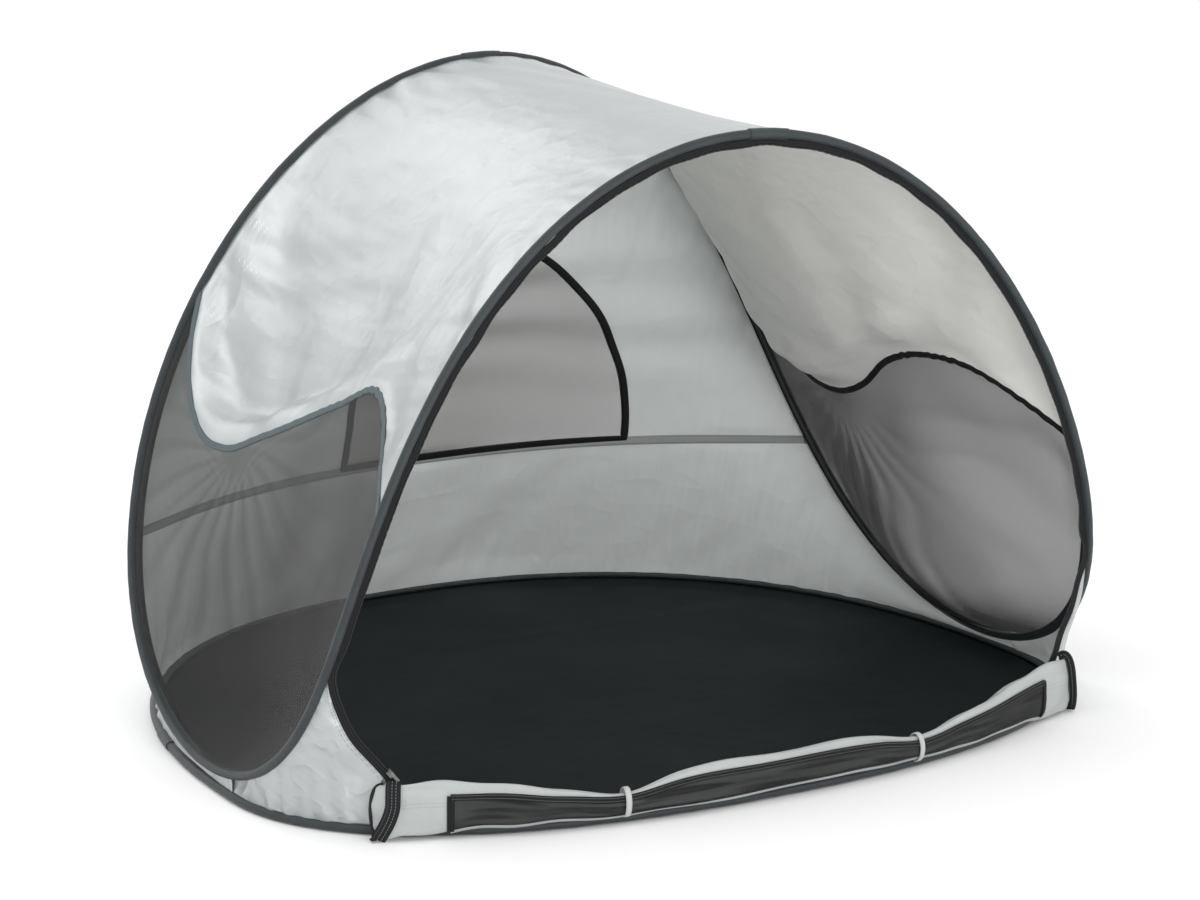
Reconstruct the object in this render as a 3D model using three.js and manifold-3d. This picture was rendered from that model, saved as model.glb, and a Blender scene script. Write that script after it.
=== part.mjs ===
// Pop-up beach shelter: a ground hoop and a saddle-shaped upper hoop of spring wire in
// sewn sleeves, with floor, roof, rear wall, mesh sides, front gussets and a rolled door.
// Millimetres, +Z up. The doorway faces -Y, +X is right as seen from the front, and the
// two hoops meet at the left and right tips on the fold line y = 0.
import * as THREE from "three";
import { mergeVertices } from "three/addons/utils/BufferGeometryUtils.js";
import Module from "manifold-3d";

const wasm = await Module();
wasm.setup();

// ---- driving dimensions ----
const RING = { halfWidth: 750, front: 400, rear: 857, centreY: -16, power: 0.875 };
const LOOP_X = { cos1: 814, cos3: -78, cos5: 6 };
const LOOP_Y = { mean: 102, sin1: -500, sin3: -93, cos2: -66, cos4: -36 };
const LOOP_Z = { mean: 488, sin1: 31, sin3: 38.5, cos2: -488, cos4: 36 };

const SLEEVE_RADIUS = 9;
const SLEEVE_BORE = 7.4;
const WIRE_RADIUS = 2;
const FERRULE = { radius: 5.2, bore: 3.8, length: 40 };
const PATCH = { radius: 11.6, length: 70, thickness: 0.8 };
const FABRIC = 1; // modelled cloth thickness
const FABRIC_MARGIN = 12.5; // from a wire's centre to the edge of the cloth
const JOIN_GAP = 0.6; // between neighbouring pieces

const FLOOR_THICKNESS = 1.2;
const CREASE_Y = -6; // where the two floor halves meet

const SEAM_Z = 283;
const SEAM_TAPE_WIDTH = 18;
const WALL_SAG = 40;
const WALL_END = 14; // degrees from each tip
const UPPER_WALL_END = 41; // degrees from each tip, where the seam meets the arch

// the rear window is a quarter of an ellipse with its straight sides left and below
const WINDOW = { left: -175, bottom: SEAM_Z + 8, width: 545, height: 460 };
const WINDOW_BINDING = 14;

const ROOF_SAG = { top: 20, side: 70 };
const MESH_END = 12;
// edge between roof cloth and side mesh: degrees up from the tip at places from the
// front arch (0) to the rear arch (1)
const MESH_EDGE = [[0, 43], [0.14, 50], [0.27, 54.5], [0.5, 51.5], [0.74, 48], [0.9, 51.5], [1, 58]];
const MESH_BINDING = 16;

const GUSSET_END = 13;
// the gusset's zip edge leaves the arch at one angle and swings to another at the ring
const ZIP_EDGE = { arch: 29.5, swing: 16, power: 2.4, foot: 0.84 };
const ZIP_TAPE_WIDTH = 9;
const ZIP_COIL_RADIUS = 1.5;
const OPENING_CENTRE = new THREE.Vector3(0, -330, 350);

const DOOR = { end: 37, height: 26, centreZ: 49, depth: 12, outward: 7 };
const DOOR_FLARE = { reach: 12, height: 15, drop: 2, outward: 21, depth: -3 };
const DOOR_PINCH = { reach: 9, height: 12, drop: 9, outward: 0, depth: -2 };
const TIES = { right: 73.5, left: 109 };
const TIE_WIDTH = 14;
const DOOR_MESH = { from: 48, to: 134, edge: 34 };
const DOOR_TRIM = { from: 38, to: 50 };
const END_TAPE_DEGREES = 3;

const SLIDER = { length: 11, width: 10, height: 8, slotDepth: 7, slotHeight: 4.6 };
const PULLER = { length: 22, width: 5, thickness: 1.4, hole: 1.2 };

const COLOURS = {
  steel: { color: "#8d9194", metalness: 0.9, roughness: 0.35 },
  sleeve: { color: "#3a464a", metalness: 0, roughness: 0.8 },
  silver: { color: "#c9cdcc", metalness: 0.3, roughness: 0.45 },
  mesh: { color: "#6e6e69", metalness: 0, roughness: 0.9 },
  black: { color: "#15181a", metalness: 0, roughness: 0.85 },
  floor: { color: "#242a2c", metalness: 0, roughness: 0.7 },
  tape: { color: "#a3a6a6", metalness: 0, roughness: 0.8 },
  tie: { color: "#c8cac9", metalness: 0, roughness: 0.8 },
};

const shelter = new THREE.Group();
const radians = THREE.MathUtils.degToRad;
const UP = new THREE.Vector3(0, 0, 1);

function add(name, colour, geometry, parent = shelter) {
  const mesh = new THREE.Mesh(geometry, new THREE.MeshStandardMaterial(COLOURS[colour]));
  mesh.name = name;
  parent.add(mesh);
  return mesh;
}

// ---- the two hoops, as functions of an angle: 0 right tip, 90 front, 180 left, 270 rear ----
function upper(t) {
  const { cos, sin } = Math;
  return new THREE.Vector3(
    LOOP_X.cos1 * cos(t) + LOOP_X.cos3 * cos(3 * t) + LOOP_X.cos5 * cos(5 * t),
    LOOP_Y.mean + LOOP_Y.sin1 * sin(t) + LOOP_Y.sin3 * sin(3 * t)
      + LOOP_Y.cos2 * cos(2 * t) + LOOP_Y.cos4 * cos(4 * t),
    LOOP_Z.mean + LOOP_Z.sin1 * sin(t) + LOOP_Z.sin3 * sin(3 * t)
      + LOOP_Z.cos2 * cos(2 * t) + LOOP_Z.cos4 * cos(4 * t),
  );
}

function ground(t) {
  const along = Math.sin(t);
  const across = Math.cos(t);
  const reach = along >= 0 ? -RING.front : RING.rear;
  return new THREE.Vector3(
    RING.halfWidth * Math.sign(across) * Math.abs(across) ** RING.power,
    RING.centreY + reach * Math.abs(along) ** RING.power,
    SLEEVE_RADIUS,
  );
}

// level direction out of the ground hoop
function outward(t) {
  const step = 0.001;
  const tangent = ground(t + step).sub(ground(t - step));
  return tangent.cross(UP).normalize().negate();
}

class HoopPath extends THREE.Curve {
  constructor(hoop, fromDegrees, toDegrees) {
    super();
    this.hoop = hoop;
    this.from = radians(fromDegrees);
    this.to = radians(toDegrees);
  }

  getPoint(u) {
    return this.hoop(this.from + (this.to - this.from) * u);
  }
}

// ---- shape helpers ----
function tube(path, radius, bore, steps, sides) {
  const section = new THREE.Shape();
  section.absarc(0, 0, radius, 0, 2 * Math.PI);
  if (bore) {
    const hole = new THREE.Path();
    hole.absarc(0, 0, bore, 0, 2 * Math.PI, true);
    section.holes.push(hole);
  }
  return new THREE.ExtrudeGeometry(section, {
    extrudePath: path,
    steps,
    curveSegments: sides,
    bevelEnabled: false,
  });
}

// A closed thin solid about the surface point(u, v), u and v from 0 to 1.
function sheet(point, across, along, thickness = FABRIC) {
  const step = 1e-3;
  const positions = [];
  for (const side of [0.5, -0.5]) {
    for (let i = 0; i <= across; i++) {
      for (let j = 0; j <= along; j++) {
        const u = i / across;
        const v = j / along;
        const du = point(Math.min(u + step, 1), v).sub(point(Math.max(u - step, 0), v));
        const dv = point(u, Math.min(v + step, 1)).sub(point(u, Math.max(v - step, 0)));
        const normal = du.cross(dv).normalize();
        positions.push(...point(u, v).addScaledVector(normal, side * thickness));
      }
    }
  }
  const row = along + 1;
  const back = (across + 1) * row;
  const faces = [];
  const quad = (a, b, c, d) => faces.push(a, b, c, a, c, d);
  for (let i = 0; i < across; i++) {
    for (let j = 0; j < along; j++) {
      const k = i * row + j;
      quad(k, k + row, k + row + 1, k + 1);
      quad(back + k, back + k + 1, back + k + row + 1, back + k + row);
    }
  }
  for (let i = 0; i < across; i++) {
    const near = i * row;
    const far = near + along;
    quad(near, back + near, back + near + row, near + row);
    quad(far, far + row, back + far + row, back + far);
  }
  for (let j = 0; j < along; j++) {
    const near = j;
    const far = across * row + j;
    quad(near, near + 1, back + near + 1, back + near);
    quad(far, back + far, back + far + 1, far + 1);
  }
  const geometry = new THREE.BufferGeometry();
  geometry.setAttribute("position", new THREE.Float32BufferAttribute(positions, 3));
  geometry.setIndex(faces);
  geometry.computeVertexNormals();
  return geometry;
}

function toSolid(geometry) {
  const plain = geometry.clone();
  plain.deleteAttribute("normal");
  plain.deleteAttribute("uv");
  const merged = mergeVertices(plain, 1e-3);
  return new wasm.Manifold(new wasm.Mesh({
    numProp: 3,
    vertProperties: merged.attributes.position.array,
    triVerts: new Uint32Array(merged.index.array),
  }));
}

function toGeometry(solid) {
  const mesh = solid.getMesh();
  const geometry = new THREE.BufferGeometry();
  geometry.setAttribute("position", new THREE.BufferAttribute(mesh.vertProperties, 3));
  geometry.setIndex(new THREE.BufferAttribute(mesh.triVerts, 1));
  geometry.computeVertexNormals();
  return geometry;
}

// A share of the straight line from one hoop to another, clear of both sleeves.
function inset(hoopA, a, hoopB, b, share) {
  const line = hoopB(b).sub(hoopA(a));
  const length = line.length();
  const low = clearance(hoopA, a, line) / length;
  const high = 1 - clearance(hoopB, b, line) / length;
  return low + (high - low) * share;
}

// How far along a line from a hoop's wire the cloth starts.
function clearance(hoop, t, line) {
  const step = 0.001;
  const tangent = hoop(t + step).sub(hoop(t - step)).normalize();
  return FABRIC_MARGIN / tangent.cross(line.clone().normalize()).length();
}

const mirrored = (point) => (u, v) => {
  const p = point(1 - u, v);
  p.x = -p.x;
  return p;
};

// ---- hoops: wire, sleeve, ferrules and patches ----
function hoops() {
  const TIP_CLEARANCE = 0.06; // degrees, about 0.8 mm of hoop
  const HOOP_STEPS = 40;
  const halves = [
    ["base_front", ground, 0, 180],
    ["base_rear", ground, 180, 360],
    ["arch_front", upper, 0, 180],
    ["arch_rear", upper, 180, 360],
  ];
  for (const [where, hoop, from, to] of halves) {
    const path = new HoopPath(hoop, from + TIP_CLEARANCE, to - TIP_CLEARANCE);
    const [which, half] = where.split("_");
    add(`${which}_sleeve_${half}`, "sleeve", tube(path, SLEEVE_RADIUS, SLEEVE_BORE, HOOP_STEPS, 4));
    add(`${which}_wire_${half}`, "steel", tube(path, WIRE_RADIUS, 0, HOOP_STEPS, 3));
  }
}

// Half the angle, in degrees, that a length of hoop takes up at an angle.
function halfSpan(hoop, at, length) {
  const perDegree = hoop(radians(at + 0.5)).distanceTo(hoop(radians(at - 0.5)));
  return length / perDegree / 2;
}

function ferrule(name, hoop, at) {
  const span = halfSpan(hoop, at, FERRULE.length);
  const path = new HoopPath(hoop, at - span, at + span);
  add(name, "steel", tube(path, FERRULE.radius, FERRULE.bore, 3, 4));
}

// A sleeve's overlap patch, open towards the cloth or the ground.
function patch(name, hoop, at, openTowards) {
  const HALF_OPENING = 50;
  const span = halfSpan(hoop, at, PATCH.length);
  const wrap = (u, v) => {
    const t = radians(at - span + 2 * span * u);
    const tangent = hoop(t + 0.001).sub(hoop(t - 0.001)).normalize();
    const open = openTowards.clone().addScaledVector(tangent, -openTowards.dot(tangent)).normalize();
    const side = tangent.clone().cross(open);
    const turn = radians(HALF_OPENING + (360 - 2 * HALF_OPENING) * v);
    return hoop(t)
      .addScaledVector(open, PATCH.radius * Math.cos(turn))
      .addScaledVector(side, PATCH.radius * Math.sin(turn));
  };
  add(name, "sleeve", sheet(wrap, 4, 10, PATCH.thickness));
}

// ---- floor ----
function floorHalf(name, fromDegrees, toDegrees, edgeY) {
  const SIDES = 28;
  const outline = [];
  for (let i = 0; i <= SIDES; i++) {
    const t = radians(fromDegrees + ((toDegrees - fromDegrees) * i) / SIDES);
    const p = ground(t).addScaledVector(outward(t), -FABRIC_MARGIN);
    outline.push(new THREE.Vector2(p.x, i === 0 || i === SIDES ? edgeY : p.y));
  }
  const shape = new THREE.Shape(outline);
  add(name, "floor", new THREE.ExtrudeGeometry(shape, { depth: FLOOR_THICKNESS, bevelEnabled: false }));
}

// ---- rear wall: a is the angle from the right tip round the back to the left tip ----
function wallPoint(degrees, share) {
  const a = radians(degrees);
  const low = ground(-a);
  const high = upper(-a);
  const p = low.clone().lerp(high, share);
  const sag = WALL_SAG * 4 * share * (1 - share) * Math.sin(a);
  return p.add(new THREE.Vector3(-Math.cos(a) * sag, -Math.sin(a) * sag, 0));
}

function shareAtHeight(degrees, z) {
  const low = ground(-radians(degrees)).z;
  const high = upper(-radians(degrees)).z;
  return (z - low) / (high - low);
}

function wallInset(degrees, share) {
  const a = -radians(degrees);
  return inset(ground, a, upper, a, share);
}

function upperWallLayer(inwards, from, to, fromZ, thickness) {
  return sheet((u, v) => {
    const degrees = from + (to - from) * u;
    const low = shareAtHeight(degrees, fromZ);
    const high = wallInset(degrees, 1);
    const p = wallPoint(degrees, low + (high - low) * v);
    return p.addScaledVector(new THREE.Vector3(0, -1, 0), inwards);
  }, 28, 6, thickness);
}

// The window's outline grown by a margin, extruded from front to back as a cutter.
function windowPrism(grow) {
  const NEAR_Y = 300;
  const FAR_Y = 1000;
  const shape = new THREE.Shape();
  const x = WINDOW.left - grow;
  const z = WINDOW.bottom - grow;
  const width = WINDOW.width + 2 * grow;
  const height = WINDOW.height + 2 * grow;
  shape.moveTo(x, z);
  shape.lineTo(x + width, z);
  shape.absellipse(x, z, width, height, 0, Math.PI / 2, false, 0);
  const geometry = new THREE.ExtrudeGeometry(shape, {
    depth: FAR_Y - NEAR_Y,
    bevelEnabled: false,
    curveSegments: 14,
  });
  geometry.rotateX(Math.PI / 2);
  geometry.translate(0, FAR_Y, 0);
  return toSolid(geometry);
}

function rearWall() {
  const lower = sheet((u, v) => {
    const degrees = WALL_END + (180 - 2 * WALL_END) * u;
    const low = wallInset(degrees, 0);
    const high = Math.min(shareAtHeight(degrees, SEAM_Z - JOIN_GAP), wallInset(degrees, 1));
    return wallPoint(degrees, low + (high - low) * v);
  }, 36, 3);
  add("rear_wall_lower", "silver", lower);

  const from = UPPER_WALL_END;
  const to = 180 - UPPER_WALL_END;
  const whole = toSolid(upperWallLayer(0, from, to, SEAM_Z + JOIN_GAP, FABRIC));
  add("rear_wall_upper", "silver", toGeometry(whole.subtract(windowPrism(0))));

  // the mesh is lapped on the inside of the opening's edge
  const MESH_LIFT = 2;
  const LAP = 4;
  const meshLayer = toSolid(upperWallLayer(MESH_LIFT, 62, 113, SEAM_Z + JOIN_GAP, FABRIC));
  add("rear_window_mesh", "mesh", toGeometry(meshLayer.intersect(windowPrism(LAP))));

  const BINDING_LIFT = 6;
  const half = WINDOW_BINDING / 2;
  const frame = windowPrism(half).subtract(windowPrism(-half));
  const layer = toSolid(upperWallLayer(BINDING_LIFT, 60, 115, SEAM_Z - half, FABRIC));
  add("rear_window_binding", "black", toGeometry(layer.intersect(frame)));

  const TAPE_LIFT = 4;
  const tape = sheet((u, v) => {
    const degrees = from + (to - from) * u;
    const z = SEAM_Z + (v - 0.5) * SEAM_TAPE_WIDTH;
    return wallPoint(degrees, shareAtHeight(degrees, z)).add(new THREE.Vector3(0, -TAPE_LIFT, 0));
  }, 28, 1);
  add("rear_seam_tape", "tape", tape);
}

// ---- roof and side mesh: one saddle surface from the front arch to the rear arch ----
function roofPoint(degrees, share) {
  const t = radians(degrees);
  const p = upper(t).lerp(upper(-t), share);
  const side = Math.abs(Math.cos(t));
  const sag = (ROOF_SAG.top + (ROOF_SAG.side - ROOF_SAG.top) * side) * 4 * share * (1 - share);
  return p.add(new THREE.Vector3(-Math.cos(t) * sag, 0, -Math.sin(t) * sag));
}

function roofInset(degrees, share) {
  const t = radians(degrees);
  return inset(upper, t, upper, -t, share);
}

const meshEdgeCurve = new THREE.SplineCurve(MESH_EDGE.map(([share, at]) => new THREE.Vector2(share, at)));

// The mesh edge's angle at a place between the arches.
function meshEdge(share) {
  const STEPS = 60;
  for (let i = 1; i <= STEPS; i++) {
    const b = meshEdgeCurve.getPoint(i / STEPS);
    if (b.x >= share || i === STEPS) {
      const a = meshEdgeCurve.getPoint((i - 1) / STEPS);
      return a.y + ((b.y - a.y) * (share - a.x)) / (b.x - a.x);
    }
  }
}

function roof() {
  const GAP = 0.1; // degrees between cloth and mesh
  const panel = (u, v) => {
    const edge = meshEdge(v) + GAP;
    const degrees = edge + (180 - 2 * edge) * u;
    return roofPoint(degrees, roofInset(degrees, v));
  };
  add("roof_panel", "silver", sheet(panel, 24, 14));

  const mesh = (u, v) => {
    const degrees = MESH_END + (meshEdge(v) - GAP - MESH_END) * u;
    return roofPoint(degrees, roofInset(degrees, v));
  };
  add("side_mesh_right", "mesh", sheet(mesh, 8, 14));
  add("side_mesh_left", "mesh", sheet(mirrored(mesh), 8, 14));

  const LIFT = 3;
  const binding = (u, v) => {
    const degrees = meshEdge(v) + (u - 0.5) * 2 * halfSpan(upper, 50, MESH_BINDING);
    const t = radians(degrees);
    return roofPoint(degrees, roofInset(degrees, v))
      .add(new THREE.Vector3(Math.cos(t) * LIFT, 0, Math.sin(t) * LIFT));
  };
  add("side_mesh_binding_right", "sleeve", sheet(binding, 1, 28));
  add("side_mesh_binding_left", "sleeve", sheet(mirrored(binding), 1, 28));
}

// ---- front gussets and the zip that runs up them and round the front arch ----
function zipEdge(share) {
  return ZIP_EDGE.arch + ZIP_EDGE.swing * share ** ZIP_EDGE.power;
}

function frontPoint(degrees, share) {
  const t = radians(degrees);
  return upper(t).lerp(ground(t), share);
}

function gussets() {
  const EDGE_GAP = 1; // degrees between the cloth and the zip tape's centre line
  const gusset = (u, v) => {
    const share = v;
    const degrees = GUSSET_END + (zipEdge(share) - EDGE_GAP - GUSSET_END) * u;
    const t = radians(degrees);
    return frontPoint(degrees, inset(upper, t, ground, t, share));
  };
  add("gusset_right", "silver", sheet(gusset, 10, 5));
  add("gusset_left", "silver", sheet(mirrored(gusset), 10, 5));
}

// Centre line of the zip tape, from the foot of the left gusset over to the right one.
function zipPath() {
  const ARCH_INSET = 17;
  const edge = [];
  for (const share of [ZIP_EDGE.foot, 0.68, 0.52, 0.36, 0.2]) {
    edge.push(frontPoint(zipEdge(share), share));
  }
  const points = edge.map((p) => new THREE.Vector3(-p.x, p.y, p.z));
  for (let degrees = 150; degrees >= 30; degrees -= 7.5) {
    const p = upper(radians(degrees));
    const inwards = OPENING_CENTRE.clone().sub(p).normalize();
    points.push(p.addScaledVector(inwards, ARCH_INSET));
  }
  points.push(...edge.reverse());
  return new THREE.CatmullRomCurve3(points, false, "centripetal");
}

function zipFrame(path, u) {
  const at = path.getPointAt(u);
  const along = path.getTangentAt(u);
  const inwards = OPENING_CENTRE.clone().sub(at);
  inwards.addScaledVector(along, -inwards.dot(along)).normalize();
  return { at, along, inwards };
}

function zip() {
  const path = zipPath();
  const tape = (u, v) => {
    const { at, inwards } = zipFrame(path, u);
    return at.addScaledVector(inwards, (v - 0.5) * ZIP_TAPE_WIDTH);
  };
  add("door_zip_tape", "black", sheet(tape, 64, 1));

  const COIL_STEPS = 64;
  const coilPoints = [];
  for (let i = 0; i <= COIL_STEPS; i++) {
    const { at, inwards } = zipFrame(path, i / COIL_STEPS);
    coilPoints.push(at.addScaledVector(inwards, ZIP_TAPE_WIDTH / 2 + ZIP_COIL_RADIUS + JOIN_GAP));
  }
  const coil = new THREE.CatmullRomCurve3(coilPoints, false, "centripetal");
  add("door_zip_coil", "black", tube(coil, ZIP_COIL_RADIUS, 0, COIL_STEPS, 2));
  slider(path);
}

// The slider straddles the coil near the foot of the left gusset; the puller hangs on it.
function slider(path) {
  const PARKED_AT = 0.008;
  const { at, along, inwards } = zipFrame(path, PARKED_AT);
  const group = new THREE.Group();
  const face = along.clone().cross(inwards);
  group.applyMatrix4(new THREE.Matrix4().makeBasis(inwards, face, along));
  group.position.copy(at);
  shelter.add(group);

  const coilAt = ZIP_TAPE_WIDTH / 2 + ZIP_COIL_RADIUS + JOIN_GAP;
  const right = coilAt + SLIDER.width / 2;
  const left = right - SLIDER.width;
  const top = SLIDER.height / 2;
  const slot = SLIDER.slotHeight / 2;
  const slotEnd = left + SLIDER.slotDepth;
  const profile = new THREE.Shape();
  profile.moveTo(left, slot);
  profile.lineTo(left, top);
  profile.lineTo(right - 2, top);
  profile.quadraticCurveTo(right, top, right, 0);
  profile.quadraticCurveTo(right, -top, right - 2, -top);
  profile.lineTo(left, -top);
  profile.lineTo(left, -slot);
  profile.lineTo(slotEnd, -slot);
  profile.lineTo(slotEnd, slot);
  const body = new THREE.ExtrudeGeometry(profile, {
    depth: SLIDER.length,
    bevelEnabled: false,
    curveSegments: 4,
  });
  add("zip_slider", "steel", body, group);

  const tab = new THREE.Shape();
  const half = PULLER.width / 2;
  tab.moveTo(-half, 0);
  tab.lineTo(-half, half - PULLER.length);
  tab.quadraticCurveTo(-half, -PULLER.length, 0, -PULLER.length);
  tab.quadraticCurveTo(half, -PULLER.length, half, half - PULLER.length);
  tab.lineTo(half, 0);
  const eye = new THREE.Path();
  eye.absarc(0, -half, PULLER.hole, 0, 2 * Math.PI, true);
  tab.holes.push(eye);
  const plate = new THREE.ExtrudeGeometry(tab, {
    depth: PULLER.thickness,
    bevelEnabled: false,
    curveSegments: 6,
  });
  const puller = add("zip_puller", "steel", plate, group);
  puller.rotation.set(Math.PI / 2, 0, 0);
  puller.position.set(coilAt, -top - JOIN_GAP, SLIDER.length - 1);
}

// ---- rolled door on the front of the ground hoop ----
const bump = (x) => (Math.abs(x) < 1 ? (1 + Math.cos(Math.PI * x)) / 2 : 0);

// Size and place of the roll's section at an angle of the ground hoop.
function doorSection(degrees) {
  const fromEnd = Math.min(degrees, 180 - degrees) - DOOR.end;
  const flare = bump(THREE.MathUtils.clamp(fromEnd / DOOR_FLARE.reach, 0, 1));
  const pinch = Math.max(
    bump((degrees - TIES.right) / DOOR_PINCH.reach),
    bump((degrees - TIES.left) / DOOR_PINCH.reach),
  );
  return {
    height: DOOR.height + DOOR_FLARE.height * flare - DOOR_PINCH.height * pinch,
    depth: DOOR.depth + DOOR_FLARE.depth * flare + DOOR_PINCH.depth * pinch,
    centreZ: DOOR.centreZ - DOOR_FLARE.drop * flare - DOOR_PINCH.drop * pinch,
    outward: DOOR.outward + DOOR_FLARE.outward * flare,
  };
}

// A point on the roll's skin, lifted off it; turn 0 faces out of the doorway.
function doorSkin(degrees, turn, lift) {
  const section = doorSection(degrees);
  const t = radians(degrees);
  const angle = radians(turn);
  const out = section.outward + (section.depth + lift) * Math.cos(angle);
  const p = ground(t).addScaledVector(outward(t), out);
  p.z = section.centreZ + (section.height + lift) * Math.sin(angle);
  return p;
}

function doorRoll() {
  const SECTIONS = 40;
  const SIDES = 10;
  const positions = [];
  const faces = [];
  for (let i = 0; i <= SECTIONS; i++) {
    const degrees = DOOR.end + ((180 - 2 * DOOR.end) * i) / SECTIONS;
    for (let j = 0; j < SIDES; j++) {
      positions.push(...doorSkin(degrees, (360 * j) / SIDES, 0));
    }
  }
  for (let i = 0; i < SECTIONS; i++) {
    for (let j = 0; j < SIDES; j++) {
      const a = i * SIDES + j;
      const b = i * SIDES + ((j + 1) % SIDES);
      faces.push(a, b, a + SIDES, b, b + SIDES, a + SIDES);
    }
  }
  const last = SECTIONS * SIDES;
  for (let j = 1; j < SIDES - 1; j++) {
    faces.push(0, j + 1, j, last, last + j, last + j + 1);
  }
  const geometry = new THREE.BufferGeometry();
  geometry.setAttribute("position", new THREE.Float32BufferAttribute(positions, 3));
  geometry.setIndex(faces);
  geometry.computeVertexNormals();
  add("door_roll", "silver", geometry);
}

function doorBand(name, colour, fromDegrees, toDegrees, fromTurn, toTurn, lift, across, along) {
  const band = (u, v) => doorSkin(
    fromDegrees + (toDegrees - fromDegrees) * u,
    fromTurn + (toTurn - fromTurn) * v,
    lift,
  );
  add(name, colour, sheet(band, across, along));
}

function doorTrim() {
  const LIFT = 2;
  const TIE_LIFT = 4;
  const { from, to, edge } = DOOR_MESH;
  doorBand("door_window_mesh", "mesh", from, to, -edge, edge, LIFT, 36, 3);
  doorBand("door_window_binding", "black", from, to, DOOR_TRIM.from, DOOR_TRIM.to, LIFT, 36, 1);
  doorBand("door_piping", "tape", from, to, -DOOR_TRIM.to, -DOOR_TRIM.from, LIFT, 36, 1);
  const end = DOOR.end + END_TAPE_DEGREES;
  doorBand("door_end_tape_right", "black", DOOR.end, end, -80, 80, LIFT, 1, 8);
  doorBand("door_end_tape_left", "black", 180 - end, 180 - DOOR.end, -80, 80, LIFT, 1, 8);
  for (const [side, at] of Object.entries(TIES)) {
    const span = halfSpan(ground, at, TIE_WIDTH);
    doorBand(`door_tie_${side}`, "tie", at - span, at + span, -172, 172, TIE_LIFT, 1, 16);
  }
}

hoops();
ferrule("base_wire_ferrule", ground, 197);
ferrule("arch_wire_ferrule", upper, 270);
patch("base_sleeve_patch", ground, 197, new THREE.Vector3(0, 0, -1));
patch("arch_sleeve_patch_rear", upper, 270, new THREE.Vector3(0, -1, -1));
patch("arch_sleeve_patch_front", upper, 88, new THREE.Vector3(0, 1, -1));
floorHalf("floor_front", 0, 180, CREASE_Y - JOIN_GAP);
floorHalf("floor_rear", 180, 360, CREASE_Y);
rearWall();
roof();
gussets();
zip();
doorRoll();
doorTrim();

export default shelter;
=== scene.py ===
"""Looks of the pop-up beach shelter: hoops in sewn sleeves, cloth, netting, zips and door, in metres.
+X is right as seen from the doorway, +Y is the rear, +Z is up; the hoops meet at the tips on y = 0."""

import math

import bpy
import numpy as np
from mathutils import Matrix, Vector


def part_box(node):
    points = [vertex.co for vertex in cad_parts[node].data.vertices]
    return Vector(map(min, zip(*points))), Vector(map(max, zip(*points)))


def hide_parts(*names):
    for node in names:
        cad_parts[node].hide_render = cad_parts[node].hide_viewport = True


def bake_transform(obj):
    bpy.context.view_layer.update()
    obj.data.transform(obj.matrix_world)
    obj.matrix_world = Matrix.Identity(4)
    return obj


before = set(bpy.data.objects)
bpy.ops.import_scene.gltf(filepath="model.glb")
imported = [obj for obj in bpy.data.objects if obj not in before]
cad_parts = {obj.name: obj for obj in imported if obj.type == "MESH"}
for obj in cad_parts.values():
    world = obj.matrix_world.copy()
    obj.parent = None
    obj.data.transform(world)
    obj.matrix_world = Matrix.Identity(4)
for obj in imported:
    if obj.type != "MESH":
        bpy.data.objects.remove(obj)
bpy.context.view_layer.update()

# ---- driving sizes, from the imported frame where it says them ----
WIRE_R = 0.002
RING_LOW, RING_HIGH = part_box("base_wire_rear")
HALF_WIDTH = RING_HIGH.x - WIRE_R
SLEEVE_Z = (RING_LOW.z + RING_HIGH.z) / 2
RING = dict(front=0.400, rear=0.857, centre_y=-0.016, power=0.875)
TENT_CENTRE = np.array([0.0, 0.13, 0.42])
OPENING_CENTRE = np.array([0.0, -0.33, 0.35])

SLEEVE_R = 0.0072
SLEEVE_FIN = 0.0065
SLEEVE_POINTS = 16
FERRULE = dict(radius=0.0032, length=0.040)
CLOTH = 0.0008
NET_THICKNESS = 0.0005
# strength of a painted glow on the cloth's inner side, standing in for light that comes through the cloth
PAINTED_GLOW_THROUGH = 0.06
# rough lengths of cloth: per radian of hoop angle, and from arch to arch
REACH = dict(hoop=0.75, cloth=0.8, wall=0.9, roof=0.75, gusset=0.7)
ARCH_TO_ARCH = 0.85

SEAM_Z = 0.283
WALL_SAG = 0.040
# the roof hangs in by a little along its lower edges, by a deep belly above them, and not at the tips
ROOF_SAG_TOP = 0.020
ROOF_SAG_SIDE = 0.070
ROOF_BELLY = dict(top=0.004, side=0.104, at=0.615, power=1.6)
TIP_FADE = 24
# roof edge over the side mesh: degrees up from the tip, from the front arch (0) to the rear (1)
EDGE_LEFT = [(0, 43.5), (0.08, 48), (0.17, 53), (0.26, 55.5), (0.38, 54), (0.62, 50), (0.74, 48.1),
             (0.83, 48.6), (0.92, 52.3), (1, 59)]
EDGE_RIGHT = [(0, 42), (0.08, 46), (0.2, 50.5), (0.32, 52), (0.46, 51), (0.58, 48), (0.7, 46.5),
              (0.84, 47.5), (0.92, 50), (1, 54.5)]
ZIP_EDGE = dict(arch=29.5, swing=16.0, power=2.4)
WINDOW = dict(left=-0.175, bottom=SEAM_Z + 0.008, width=0.545, height=0.460)

# the door's places are degrees of ring; turn goes round the roll, 0 out of the doorway and 90 up
DOOR_RUN = 0.011
DOOR_ROUND = 0.0006
DOOR_END = 37.0
TIE_RIGHT, TIE_LEFT = 73.5, 109.0
DOOR_MESH = (46.0, 133.0)
DOOR_MESH_TURN = (-52, 24)
END_TAPE_WIDTH = dict(left=0.023, right=0.017)
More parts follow.
